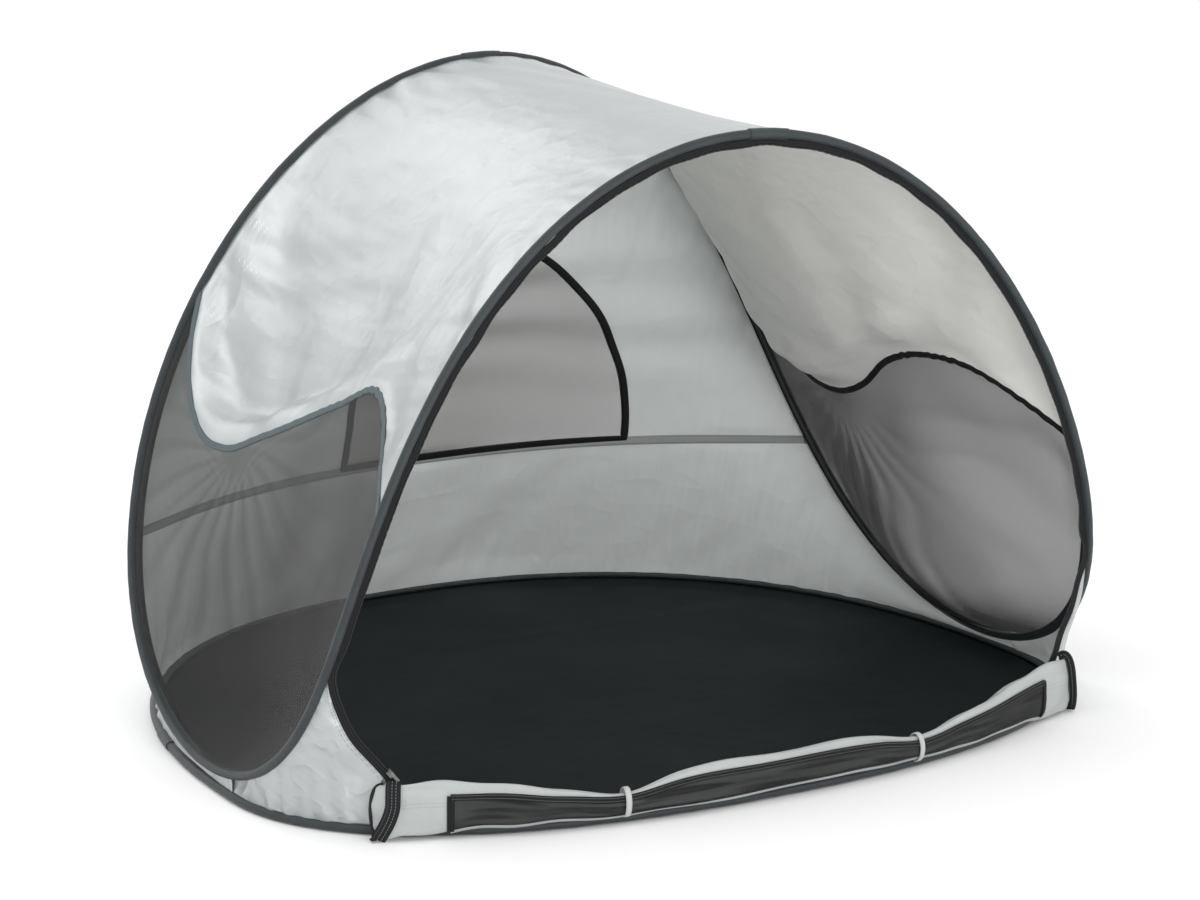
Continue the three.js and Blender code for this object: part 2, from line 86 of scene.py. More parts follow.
# by ring angle: half the roll's height, and the height of its underside
DOOR_HALF_HEIGHT = [(37, 0.046), (45, 0.043), (58, 0.033), (66, 0.024), (73.5, 0.017), (80, 0.026),
                    (91, 0.031), (102, 0.027), (109, 0.017), (118, 0.025), (130, 0.036), (138, 0.042),
                    (143, 0.044)]
DOOR_FOOT = [(37, 0.003), (44, 0.009), (55, 0.015), (73.5, 0.018), (91, 0.017), (109, 0.018),
             (128, 0.015), (137, 0.008), (143, 0.003)]

SEED = 11


# ---- smooth repeatable unevenness ----
def uneven(points, seed, size, count=9):
    """Smooth unevenness of about -1 to 1 at points, with lumps of about that size."""
    rng = np.random.default_rng(SEED * 1000 + seed)
    vectors = unit(rng.normal(size=(count, 3)))
    vectors = vectors * rng.uniform(0.4 / size, 1.1 / size, (count, 1)) * 2 * math.pi
    phases = rng.uniform(0, 2 * math.pi, count)
    return np.sin(points @ vectors.T + phases).sum(-1) / math.sqrt(count) * 0.8


def uneven_along(s, seed, size, count=7):
    """The same along one length."""
    rng = np.random.default_rng(SEED * 2000 + seed)
    freq = rng.uniform(0.4, 1.2, count) * 2 * math.pi / size
    phase = rng.uniform(0, 2 * math.pi, count)
    return np.sin(np.asarray(s)[..., None] * freq + phase).sum(-1) / math.sqrt(count) * 0.8


def unit(v):
    return v / np.maximum(np.linalg.norm(v, axis=-1, keepdims=True), 1e-9)


def across(tangent, towards):
    """The part of towards that is square to tangent, as a unit vector."""
    return unit(towards - (towards * tangent).sum(-1, keepdims=True) * tangent)


def ramp(x, low, high):
    s = np.clip((np.asarray(x, float) - low) / (high - low), 0, 1)
    return s * s * (3 - 2 * s)


def through(points, x):
    """A smooth curve through a few (place, value) points."""
    at = np.array([p[0] for p in points], float)
    value = np.array([p[1] for p in points], float)
    slope = np.gradient(value, at)
    k = np.clip(np.searchsorted(at, x, side="right") - 1, 0, len(at) - 2)
    gap = at[k + 1] - at[k]
    s = (np.asarray(x, float) - at[k]) / gap
    return ((2 * s**3 - 3 * s**2 + 1) * value[k] + (s**3 - 2 * s**2 + s) * gap * slope[k]
            + (3 * s**2 - 2 * s**3) * value[k + 1] + (s**3 - s**2) * gap * slope[k + 1])


# ---- the two hoops, by an angle: 0 right tip, 90 front, 180 left tip, 270 rear ----
def upper(t):
    """The upper hoop, a saddle that is high at the front and the rear and low at the tips."""
    x = 0.814 * np.cos(t) - 0.078 * np.cos(3 * t) + 0.006 * np.cos(5 * t)
    y = (0.102 - 0.500 * np.sin(t) - 0.093 * np.sin(3 * t) - 0.066 * np.cos(2 * t)
         - 0.036 * np.cos(4 * t))
    z = (0.488 + 0.031 * np.sin(t) + 0.0385 * np.sin(3 * t) - 0.488 * np.cos(2 * t)
         + 0.036 * np.cos(4 * t))
    return np.stack([x, y, z], -1)


def ground(t):
    """The ground hoop, deeper behind the fold line than before it."""
    side, along = np.cos(t), np.sin(t)
    x = HALF_WIDTH * np.sign(side) * np.abs(side) ** RING["power"]
    reach = np.where(along >= 0, -RING["front"], RING["rear"])
    y = RING["centre_y"] + reach * np.abs(along) ** RING["power"]
    return np.stack([x, y, np.full_like(x, SLEEVE_Z)], -1)


def tangent_of(hoop, t):
    return unit(hoop(t + 1e-3) - hoop(t - 1e-3))


def out_of_ring(t):
    return -unit(np.cross(tangent_of(ground, t), np.array([0.0, 0.0, 1.0])))


# ---- mesh building ----
def new_object(name, verts, faces, materials, face_slots, coords):
    mesh = bpy.data.meshes.new(name)
    mesh.from_pydata([tuple(v) for v in verts], [], faces)
    for material in materials:
        mesh.materials.append(material)
    mesh.polygons.foreach_set("material_index", np.asarray(face_slots, np.int32))
    attribute = mesh.attributes.new("cloth", "FLOAT_VECTOR", "POINT")
    attribute.data.foreach_set("vector", np.asarray(coords, np.float32).ravel())
    mesh.polygons.foreach_set("use_smooth", np.ones(len(mesh.polygons), bool))
    mesh.update()
    obj = bpy.data.objects.new(name, mesh)
    bpy.context.scene.collection.objects.link(obj)
    return obj


def fold_with_hoops(obj):
    """Bakes the piece's transform into its mesh points."""
    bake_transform(obj)


def finish_piece(obj, replaces):
    if replaces:
        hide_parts(*replaces)
    fold_with_hoops(obj)


def tube_faces(n, m, closed=False):
    """Quads of a tube of n rings of m points, with a cap on each open end."""
    faces = []
    for i in range(n if closed else n - 1):
        for j in range(m):
            k, i2 = (j + 1) % m, (i + 1) % n
            faces.append((i * m + j, i * m + k, i2 * m + k, i2 * m + j))
    if not closed:
        faces += [tuple(range(m - 1, -1, -1)), tuple(range((n - 1) * m, n * m))]
    return faces


def facing_out(points, faces):
    """The faces of a closed body, turned round if they face into it."""
    p = points[np.array([f for f in faces if len(f) == 4])]
    volume = (np.cross(p[:, 1] - p[:, 0], p[:, 2] - p[:, 0]) * p[:, 0]).sum()
    volume += (np.cross(p[:, 2] - p[:, 0], p[:, 3] - p[:, 0]) * p[:, 0]).sum()
    return [f[::-1] for f in faces] if volume < 0 else faces


def sheet(name, grid, materials, replaces, coords, thick=CLOTH, keep=None, centre=TENT_CENTRE,
          lift=None):
    """A closed thin cloth about a grid of points, its first material on the side away from centre."""
    nu, nv = grid.shape[:2]
    normal = unit(np.cross(np.gradient(grid, axis=0), np.gradient(grid, axis=1)))
    keep = np.ones((nu - 1, nv - 1), bool) if keep is None else keep
    lift = np.zeros((nu, nv)) if lift is None else lift
    if ((grid - centre) * normal).sum() < 0:
        grid, normal, coords, keep, lift = (part[:, ::-1] for part in (grid, -normal, coords, keep, lift))
    grid = grid + normal * lift[..., None]
    normal = unit(np.cross(np.gradient(grid, axis=0), np.gradient(grid, axis=1)))
    verts = np.concatenate([(grid + normal * thick / 2).reshape(-1, 3),
                            (grid - normal * thick / 2).reshape(-1, 3)])
    index = np.arange(nu * nv).reshape(nu, nv)
    # seen from the side that the normal points to, the corners run anticlockwise
    top = np.stack([index[:-1, :-1], index[1:, :-1], index[1:, 1:], index[:-1, 1:]], -1)[keep]
    back = top[:, ::-1] + nu * nv
    edges = dict.fromkeys((face[k], face[(k + 1) % 4]) for face in top for k in range(4))
    rim = [(q, p, p + nu * nv, q + nu * nv) for p, q in edges if (q, p) not in edges]
    faces = np.concatenate([top, back, np.array(rim).reshape(-1, 4)])
    slots = np.concatenate([np.zeros(len(top)), np.ones(len(top)), np.zeros(len(rim))])
    used = np.unique(faces)
    renumber = np.zeros(2 * nu * nv, int)
    renumber[used] = np.arange(len(used))
    both = np.concatenate([coords.reshape(-1, 3)] * 2)[used]
    obj = new_object(name, verts[used], renumber[faces].tolist(), materials, slots, both)
    finish_piece(obj, replaces)


def strip(name, centre, side, section, materials, replaces=(), closed=False, rough=None,
          slots=None):
    """A closed body along a line of points: section holds (along side, square to it) pairs."""
    n = len(centre)
    if closed:
        tangent = unit(np.roll(centre, -1, 0) - np.roll(centre, 1, 0))
        step = np.linalg.norm(np.roll(centre, -1, 0) - centre, axis=1)
    else:
        tangent = unit(np.gradient(centre, axis=0))
        step = np.linalg.norm(np.diff(centre, axis=0, append=centre[-1:]), axis=1)
    run = np.concatenate([[0], np.cumsum(step)[:-1]])
    side = across(tangent, np.broadcast_to(side, centre.shape))
    other = np.cross(tangent, side)
    if section.ndim == 2:
        section = np.broadcast_to(section, (n,) + section.shape)
    if rough is not None:
        section = section * (1 + rough[..., None])
    m = section.shape[1]
    verts = centre[:, None] + section[..., :1] * side[:, None] + section[..., 1:] * other[:, None]
    perimeter = np.concatenate([[0], np.cumsum(np.linalg.norm(np.diff(section[0], axis=0), axis=1))])
    coords = np.zeros((n, m, 3))
    coords[..., 0] = run[:, None]
    coords[..., 1] = perimeter[None]
    coords[..., 2] = section[..., 0]
    faces = tube_faces(n, m, closed)
    face_slots = np.zeros(len(faces))
    if slots is not None:
        rings = len(faces) // m
        face_slots[:rings * m] = np.tile(slots, rings)
    flat = verts.reshape(-1, 3)
    obj = new_object(name, flat, facing_out(flat, faces), materials, face_slots, coords.reshape(-1, 3))
    finish_piece(obj, replaces)


def oval(half_width, half_height, points=12, power=1.0):
    angle = np.arange(points) * 2 * math.pi / points
    c, s = np.cos(angle), np.sin(angle)
    return np.stack([half_width * np.sign(c) * np.abs(c) ** power,
                     half_height * np.sign(s) * np.abs(s) ** power], -1)


# ---- materials ----
class Cloth:
    """A Principled material that is built up from weave, blotches, stitching and bump."""

    def __init__(self, name, colour, roughness, metallic=0.0, sheen=0.0, specular=0.5):
        self.material = bpy.data.materials.new(name)
        self.material.use_nodes = True
        self.nodes = self.material.node_tree.nodes
        self.links = self.material.node_tree.links
        self.shader = self.nodes["Principled BSDF"]
        self.shader.inputs["Metallic"].default_value = metallic
        self.shader.inputs["Sheen Weight"].default_value = sheen
        self.shader.inputs["Specular IOR Level"].default_value = specular
        self.colour = self.nodes.new("ShaderNodeRGB").outputs[0]
        self.colour.default_value = (*colour, 1)
        self.roughness = roughness
        self.height = 0.0
        place = self.nodes.new("ShaderNodeAttribute")
        place.attribute_name = "cloth"
        parts = self.nodes.new("ShaderNodeSeparateXYZ")
        self.links.new(place.outputs["Vector"], parts.inputs[0])
        self.run, self.over, self.extra = parts.outputs
        self.place = place.outputs["Vector"]
        self.where = self.nodes.new("ShaderNodeTexCoord").outputs["Object"]

    def math(self, operation, a, b=None, c=None):
        node = self.nodes.new("ShaderNodeMath")
        node.operation = operation
        for socket, value in zip(node.inputs, (a, b, c)):
            if isinstance(value, (int, float)):
                socket.default_value = value
            elif value is not None:
                self.links.new(value, socket)
        return node.outputs[0]

    def noise(self, scale, detail=3.0, stretch=None, vector=None):
        source = vector or self.where
        if stretch:
            mapping = self.nodes.new("ShaderNodeMapping")
            mapping.inputs["Scale"].default_value = stretch
            self.links.new(source, mapping.inputs["Vector"])
            source = mapping.outputs[0]
        node = self.nodes.new("ShaderNodeTexNoise")
        node.inputs["Scale"].default_value = scale
        node.inputs["Detail"].default_value = detail
        self.links.new(source, node.inputs["Vector"])
        return node.outputs["Fac"]

    def tint(self, factor, colour, strength=1.0):
        mix = self.nodes.new("ShaderNodeMix")
        mix.data_type = "RGBA"
        self.links.new(self.math("MULTIPLY", factor, strength), mix.inputs["Factor"])
        self.links.new(self.colour, mix.inputs["A"])
        mix.inputs["B"].default_value = (*colour, 1)
        self.colour = mix.outputs["Result"]
        return self

    def blotches(self, scale, colour, strength, low=0.4, high=0.7):
        spread = self.nodes.new("ShaderNodeMapRange")
        spread.inputs["From Min"].default_value = low
        spread.inputs["From Max"].default_value = high
        self.links.new(self.noise(scale), spread.inputs["Value"])
        return self.tint(spread.outputs[0], colour, strength)

    def raise_by(self, height, amount):
        self.height = self.math("ADD", self.math("MULTIPLY", height, amount), self.height)
        return self

    def weave(self, pitch, amount, colour=None, strength=0.3):
        """Over and under threads along the piece's own run and width. A lighter colour, where given, is a
        painted highlight on the raised crossings.
        """
        turns = 2 * math.pi / pitch
        warp = self.math("SINE", self.math("MULTIPLY", self.run, turns))
        weft = self.math("SINE", self.math("MULTIPLY", self.over, turns))
        cross = self.math("MULTIPLY", warp, weft)
        self.raise_by(cross, amount)
        # a lighter colour here is a painted highlight on the thread crests
        if colour:
            self.tint(self.math("MAXIMUM", cross, 0.0), colour, strength)
        return self

    def creases(self, scale, amount, stretch=None, sharp=5.0):
        """Thin crisp ridges, as in crumpled coated cloth."""
        noise = self.noise(scale, 2.0, stretch)
        centred = self.math("ABSOLUTE", self.math("MULTIPLY_ADD", noise, 2.0, -1.0))
        ridge = self.math("POWER", self.math("SUBTRACT", 1.0, centred), sharp)
        return self.raise_by(ridge, amount)

    def stitches(self, at, pitch, width, colour, coordinate=None):
        """A line of thread dashes at a distance over the piece."""
        away = self.math("ABSOLUTE", self.math("SUBTRACT", coordinate or self.over, at))
        near = self.math("LESS_THAN", away, width / 2)
        part = self.math("FRACT", self.math("DIVIDE", self.run, pitch))
        dash = self.math("LESS_THAN", part, 0.62)
        line = self.math("MULTIPLY", near, dash)
        self.raise_by(line, 0.0004)
        return self.tint(line, colour, 0.9)

    def band(self, low, high, colour, coordinate):
        above = self.math("GREATER_THAN", coordinate, low)
        below = self.math("LESS_THAN", coordinate, high)
        return self.tint(self.math("MULTIPLY", above, below), colour)

    def done(self, bump, alpha=None):
        bump_node = self.nodes.new("ShaderNodeBump")
        bump_node.inputs["Strength"].default_value = bump
        bump_node.inputs["Distance"].default_value = 1.0
        self.links.new(self.height, bump_node.inputs["Height"])
        self.links.new(bump_node.outputs[0], self.shader.inputs["Normal"])
        self.links.new(self.colour, self.shader.inputs["Base Color"])
        if isinstance(self.roughness, (int, float)):
            self.shader.inputs["Roughness"].default_value = self.roughness
        else:
            self.links.new(self.roughness, self.shader.inputs["Roughness"])
        if alpha is not None:
            self.links.new(alpha, self.shader.inputs["Alpha"])
        return self.material


def silver_outside(name="silver_outside", seams=(), crumple=1.0):
    m = Cloth(name, (0.48, 0.50, 0.505), 0.34, metallic=0.7)
    m.blotches(3.0, (0.42, 0.44, 0.45), 0.45)
    m.raise_by(m.noise(5.0, 3.0), 0.010).raise_by(m.noise(60.0, 3.0), 0.0005)
    m.raise_by(m.noise(1.0, 2.0, (17.0, 2.2, 0.0), m.place), 0.0110)
    m.creases(4.0, 0.0028 * crumple, (1.6, 1.2, 0.45), 4.0).creases(14.0, 0.0007 * crumple)
    m.weave(0.0011, 0.00006)
    for at in seams:
        m.stitches(at, 0.0045, 0.0010, (0.15, 0.155, 0.16))
    m.roughness = m.math("MULTIPLY_ADD", m.noise(9.0), 0.18, 0.25)
    return m.done(0.8)


# The inner side's pale grey is partly the cloth's own tone and partly painted light, for light that comes
# through the cloth.
def silver_inside(name, colour):
    m = Cloth(name, colour, 0.48)
    m.blotches(4.0, tuple(c * 0.92 for c in colour), 0.4)
    m.raise_by(m.noise(6.0, 3.0), 0.006).raise_by(m.noise(45.0, 3.0), 0.0004)
    m.raise_by(m.noise(1.0, 2.0, (19.0, 4.0, 0.0), m.place), 0.0075)
    m.creases(5.0, 0.0016, (0.5, 1.0, 1.6), 4.0).creases(13.0, 0.0006)
    m.weave(0.0011, 0.00006)
    # painted glow: the inner side shines faintly in its own colour, for light that comes through the cloth
    m.shader.inputs["Emission Color"].default_value = (*colour, 1)
    m.shader.inputs["Emission Strength"].default_value = PAINTED_GLOW_THROUGH
    return m.done(0.8)


def sleeve_cloth():
    m = Cloth("sleeve_cloth", (0.012, 0.0175, 0.020), 0.5, sheen=0.06)
    # the lighter weave colour is a painted highlight on the raised threads
    m.weave(0.0012, 0.00010, (0.028, 0.039, 0.043), 0.5)
    m.blotches(22.0, (0.024, 0.034, 0.038), 0.5)
    m.raise_by(m.noise(70.0, 3.0), 0.0012)
    m.stitches(SLEEVE_R + SLEEVE_FIN - 0.0045, 0.0045, 0.0009, (0.10, 0.12, 0.125), m.extra)
    return m.done(0.6)


def dark_tape(name="black_tape", colour=(0.0045, 0.0048, 0.0055), thread=(0.030, 0.031, 0.033)):
    m = Cloth(name, colour, 0.75, specular=0.25)
    # the lighter weave colour is a painted highlight on the raised threads
    m.weave(0.0014, 0.00010, tuple(c * 1.9 for c in colour), 0.6)
    m.stitches(0.0025, 0.0042, 0.0008, thread, m.math("ABSOLUTE", m.extra))
    m.raise_by(m.noise(120.0), 0.0006)
    return m.done(0.6)


def netting(name, colour, cover, gather=0.20):
    """Threads over holes; seen at a slant, the threads cover more of what is behind."""
    m = Cloth(name, colour, 0.75, specular=0.3)
    m.blotches(6.0, tuple(c * 1.35 for c in colour), 0.5)
    half_turns = math.pi / 0.0013
    warp = m.math("ABSOLUTE", m.math("SINE", m.math("MULTIPLY", m.run, half_turns)))
    weft = m.math("ABSOLUTE", m.math("SINE", m.math("MULTIPLY", m.over, half_turns)))
    thread = m.math("MAXIMUM", warp, weft)
    m.raise_by(thread, 0.00002)
    m.creases(5.0, 0.0022, (1.0, 1.0, 0.6), 4.0)
    alpha = m.math("MULTIPLY_ADD", m.math("POWER", thread, 4.0), 0.06, cover - 0.03)
    gathered = m.math("MULTIPLY", m.math("MAXIMUM", m.extra, 0.0), gather)
    open_share = m.math("SUBTRACT", 1.0, m.math("ADD", alpha, gathered))
    facing = m.nodes.new("ShaderNodeLayerWeight")
    facing.inputs["Blend"].default_value = 0.5
    square_on = m.math("MAXIMUM", m.math("SUBTRACT", 1.0, facing.outputs["Facing"]), 0.3)
    slanted = m.math("POWER", m.math("MAXIMUM", open_share, 0.02), m.math("DIVIDE", 1.0, square_on))
    return m.done(0.5, m.math("SUBTRACT", 1.0, slanted))


def groundsheet():
    colour = (0.0046, 0.0080, 0.0096)
    m = Cloth("groundsheet", colour, 0.55, specular=0.14)
    m.blotches(2.4, tuple(c * 1.5 for c in colour), 0.55, 0.35, 0.75)
    m.raise_by(m.noise(7.0, 3.0), 0.003).raise_by(m.noise(30.0, 4.0), 0.0007)
    m.weave(0.0016, 0.00008)
    m.roughness = m.math("MULTIPLY_ADD", m.noise(5.0), 0.15, 0.48)
    return m.done(0.6)


def grey_tape():
    m = Cloth("grey_tape", (0.30, 0.315, 0.315), 0.7, sheen=0.1)
    # the lighter weave colour is a painted highlight on the raised threads
    m.weave(0.0015, 0.00012, (0.38, 0.39, 0.39), 0.5)
    m.stitches(0.0055, 0.0048, 0.0010, (0.16, 0.17, 0.17), m.math("ABSOLUTE", m.extra))
    return m.done(0.6)


def webbing():
    m = Cloth("tie_webbing", (0.50, 0.51, 0.50), 0.75, sheen=0.1)
    m.weave(0.0018, 0.0003, (0.48, 0.49, 0.48), 0.6)
    m.stitches(0.0032, 0.004, 0.0008, (0.34, 0.35, 0.34), m.math("ABSOLUTE", m.extra))
    return m.done(0.7)


def steel(name="wire_steel", colour=(0.42, 0.43, 0.44), roughness=0.32):
    m = Cloth(name, colour, roughness, metallic=1.0)
    m.blotches(90.0, tuple(c * 0.7 for c in colour), 0.5)
    m.raise_by(m.noise(300.0, 2.0), 0.0002)
    m.roughness = m.math("MULTIPLY_ADD", m.noise(140.0), 0.2, roughness - 0.08)
    return m.done(0.4)


def door_cloth():
    m = Cloth("door_cloth", (0.40, 0.42, 0.415), 0.6, sheen=0.1)
    m.blotches(9.0, (0.33, 0.345, 0.345), 0.5)
    m.raise_by(m.noise(30.0, 4.0), 0.0042).raise_by(m.noise(120.0, 3.0), 0.0005)
    m.creases(16.0, 0.0022)
    for at in (0.004, 0.009):
        m.stitches(at, 0.0042, 0.0009, (0.30, 0.31, 0.31), m.extra)
    return m.done(0.6)


def end_tape_cloth():
    m = Cloth("end_tape", (0.0060, 0.0064, 0.0072), 0.7, specular=0.25)
    # the lighter weave colour is a painted highlight on the raised threads
    m.weave(0.0014, 0.00010, (0.016, 0.017, 0.018), 0.6)
    for at in (-0.0045, 0.0015):
        m.stitches(at, 0.0045, 0.0009, (0.20, 0.205, 0.21), m.extra)
    m.band(0.0062, 0.0085, (0.022, 0.022, 0.024), m.extra)
    return m.done(0.6)


def coil_cord():
    m = Cloth("zip_coil", (0.012, 0.012, 0.013), 0.35)
    teeth = m.math("SINE", m.math("MULTIPLY", m.run, 2 * math.pi / 0.0014))
    # the lighter colour on the teeth's crests is a painted highlight
    m.raise_by(teeth, 0.0004).tint(m.math("MAXIMUM", teeth, 0.0), (0.05, 0.05, 0.052), 0.7)
    return m.done(0.8)


SILVER_OUT = silver_outside()
GUSSET_OUT = silver_outside("gusset_outside", (0.010, 0.016), crumple=4.5)
SILVER_IN = silver_inside("silver_inside", (0.66, 0.69, 0.68))
# the roof's inner side: a paler, warmer copy of the inside cloth, painted light for the brighter light
# that comes through the roof
SILVER_IN_ROOF_PAINTED_LIGHT = silver_inside("silver_inside_roof_painted_light", (0.71, 0.715, 0.685))
SLEEVE = sleeve_cloth()
BLACK = dark_tape()
BLACK_SEWN = dark_tape("black_sewn_tape", thread=(0.16, 0.165, 0.165))
END_TAPE = end_tape_cloth()
SLATE = dark_tape("slate_tape", (0.085, 0.105, 0.112), (0.16, 0.18, 0.185))
NET_LEFT = netting("left_netting", (0.040, 0.041, 0.039), 0.225)
NET_RIGHT = netting("right_netting", (0.044, 0.044, 0.042), 0.405)
NET_REAR = netting("rear_netting", (0.070, 0.069, 0.062), 0.44)
NET_DOOR = netting("door_netting", (0.011, 0.011, 0.011), 0.38, 0.26)
GROUNDSHEET = groundsheet()
GREY_TAPE = grey_tape()
WEBBING = webbing()
STEEL = steel()
ZIP_METAL = steel("zip_metal", (0.085, 0.085, 0.083), 0.34)
COIL = coil_cord()
DOOR_CLOTH = door_cloth()


# ---- hoops ----
def sleeve_section(points=SLEEVE_POINTS):
    angle = np.arange(points) * 2 * math.pi / points
    fin = np.maximum(np.cos(angle), 0)
    x = SLEEVE_R * np.cos(angle) + SLEEVE_FIN * fin**3
    y = SLEEVE_R * np.sin(angle) * (1 - 0.35 * fin)
    return np.stack([x, y], -1)


def hoop_side(hoop, t):
    """Which way a hoop's sleeve tapers to its seam: towards the cloth."""
    if hoop is ground:
        return -out_of_ring(t) + np.array([0, 0, 0.25])
    return TENT_CENTRE - hoop(t)


def hoops():
    count = 560
    t = np.arange(count) * 2 * math.pi / count
    # each corner of the section gets its own place in the unevenness
    corner = np.arange(SLEEVE_POINTS)
    spread = 0.02 * np.stack([np.cos(corner), np.sin(corner), 0 * corner], -1)
    for name, hoop, seed in (("base", ground, 1), ("arch", upper, 2)):
        centre = hoop(t)
        side = hoop_side(hoop, t)
        rough = 0.045 * uneven(centre[:, None] + spread, seed, 0.03)
        strip(f"{name}_sleeve", centre, side, sleeve_section(), [SLEEVE],
              (f"{name}_sleeve_front", f"{name}_sleeve_rear"), closed=True, rough=rough)
        strip(f"{name}_wire", centre, side, oval(WIRE_R, WIRE_R, 8), [STEEL],
              (f"{name}_wire_front", f"{name}_wire_rear"), closed=True)


def arch_binding():
    """Black tape sewn inside along the rear arch, where the roof and the netting meet the sleeve."""
    t = np.radians(np.linspace(184, 356, 300))
    inwards = across(tangent_of(upper, t), TENT_CENTRE - upper(t))
    line = upper(t) + 0.0125 * inwards
    strip("rear_arch_binding", line, inwards, oval(0.0055, 0.0012, 10, 0.6), [BLACK])


def ferrule(name, hoop, degrees):
    half = FERRULE["length"] / 2
    t = np.radians(degrees) + np.linspace(-half, half, 7) / REACH["hoop"]
    strip(f"{name}_ferrule", hoop(t), hoop_side(hoop, t), oval(FERRULE["radius"], FERRULE["radius"], 10),
          [STEEL], (f"{name}_wire_ferrule",))


def sleeve_patch(name, hoop, degrees, length=0.07):
    """A wider length of sleeve over the place where a sleeve's ends meet."""
    t0 = math.radians(degrees)
    half = length / 2 / np.linalg.norm((hoop(t0 + 5e-4) - hoop(t0 - 5e-4)) / 1e-3)
    t = np.linspace(t0 - half, t0 + half, 26)
    bumps = 0.03 * uneven_along(np.linspace(0, length, 26), 31 + len(name), 0.02)
    section = sleeve_section(18) * 1.2
    strip(name, hoop(t), hoop_side(hoop, t), section, [SLEEVE], (name,),
          rough=bumps[:, None] * np.ones((1, 18)))


# ---- floor ----
def floor():
    n = 150
    a, b = np.meshgrid(np.linspace(-1, 1, n), np.linspace(-1, 1, n), indexing="ij")
    radius = np.maximum(np.abs(a), np.abs(b))
    angle = np.where(np.abs(a) >= np.abs(b), (math.pi / 4) * b / np.where(a == 0, 1, a),
                     math.pi / 2 - (math.pi / 4) * a / np.where(b == 0, 1, b))
    angle = np.where((np.abs(a) >= np.abs(b)) & (a < 0), angle + math.pi, angle)
    angle = np.where((np.abs(a) < np.abs(b)) & (b < 0), angle + math.pi, angle)
    middle = np.array([0, 0.2, 0.0])
    rim = ground(angle) - 0.008 * out_of_ring(angle)
    points = middle + (rim - middle) * radius[..., None]
    edge = ramp(radius, 0.93, 1.0)
    flat = points * np.array([1, 1, 0])
    folds = 0.0022 * uneven(flat, 3, 0.34)
    crease = np.maximum(0, np.sin(points[..., 1] * 17 + 3 * uneven(flat, 5, 0.6))) ** 10
    crease = crease * ramp(uneven(flat, 6, 0.5), -0.2, 0.8)
    relief = folds.clip(-0.0016, 0.004) + 0.0012 * crease
    points[..., 2] = 0.0028 + edge * (SLEEVE_Z - 0.004) + (1 - edge) * relief
    coords = np.stack([points[..., 0], points[..., 1], np.zeros_like(angle)], -1)
    sheet("floor", points, [GROUNDSHEET, GROUNDSHEET], ("floor_front", "floor_rear"),
          coords, centre=np.array([0, 0.2, -3.0]))


# ---- rear wall ----
def wall_point(a, share):
    low, high = ground(-a), upper(-a)
    p = low + (high - low) * share[..., None]
    sag = WALL_SAG * 4 * share * (1 - share) * np.sin(a)
    return p - sag[..., None] * np.stack([np.cos(a), np.sin(a), 0 * a], -1)


def wall_share(a, z):
    low, high = ground(-a)[..., 2], upper(-a)[..., 2]
    return (z - low) / (high - low)


def in_window(x, z, grow=0.0):
    dx, dz = x - WINDOW["left"] + grow, z - WINDOW["bottom"] + grow
    width, height = WINDOW["width"] + 2 * grow, WINDOW["height"] + 2 * grow
    return (dx > 0) & (dz > 0) & ((dx / width) ** 2 + (dz / height) ** 2 < 1)


def wall_folds(points, share, a):
    """Level drapes across the wall, with puckers at the seam and the sleeves."""
    height = points[..., 2]
    drape = 0.0075 * np.sin(height * 55 + 1.6 * uneven(points, 12, 0.5))
    drape = drape * ramp(height, 0.30, 0.5) * (0.55 + 0.45 * uneven(points, 13, 0.6))
    broad = 0.007 * uneven(points, 14, 0.35)
    rim = np.exp(-np.minimum(share, 1 - share) / 0.07)
    pucker = 0.0035 * rim * uneven_along(a * REACH["wall"] + height * 0.25, 15, 0.045)
    return drape + broad + pucker


def rear_wall():
    lower_wall()
    points, lift = upper_wall()
    seam = np.radians(np.linspace(38.5, 141.5, 200))
    line = wall_point(seam, wall_share(seam, SEAM_Z)) + np.array([0, -0.0022, 0])
    strip("rear_seam_tape", line, np.array([0, 0, 1.0]), oval(0.008, 0.0011, 10, 0.6), [GREY_TAPE],
          ("rear_seam_tape",))
    window_binding(points, lift)


def lower_wall():
    """From the ground sleeve up to the seam."""
    a = np.radians(np.linspace(0, 180, 240))[:, None] * np.ones((1, 46))
    top = np.minimum(wall_share(a, SEAM_Z), 0.995)
    share = np.linspace(0.006, 1, 46)[None] * top
    points = wall_point(a, share)
    height = points[..., 2]
    lean = uneven_along(a * REACH["wall"] + (height - 0.1) * 0.9, 16, 0.16)
    lift = wall_folds(points, share, a)
    lift += 0.004 * lean * ramp(height, 0.02, 0.10) * (1 - ramp(height, 0.20, 0.28))
    lift *= ramp(a, 0.05, 0.25) * ramp(math.pi - a, 0.05, 0.25)
    lift *= ramp(share, 0, 0.05) * (1 - ramp(height, 0.262, SEAM_Z)) * (1 - ramp(share, 0.9, 1))
    coords = np.stack([a * REACH["cloth"], height, share], -1)
    sheet("rear_wall_lower", points, [SILVER_OUT, SILVER_IN], ("rear_wall_lower",),
          coords, lift=lift)


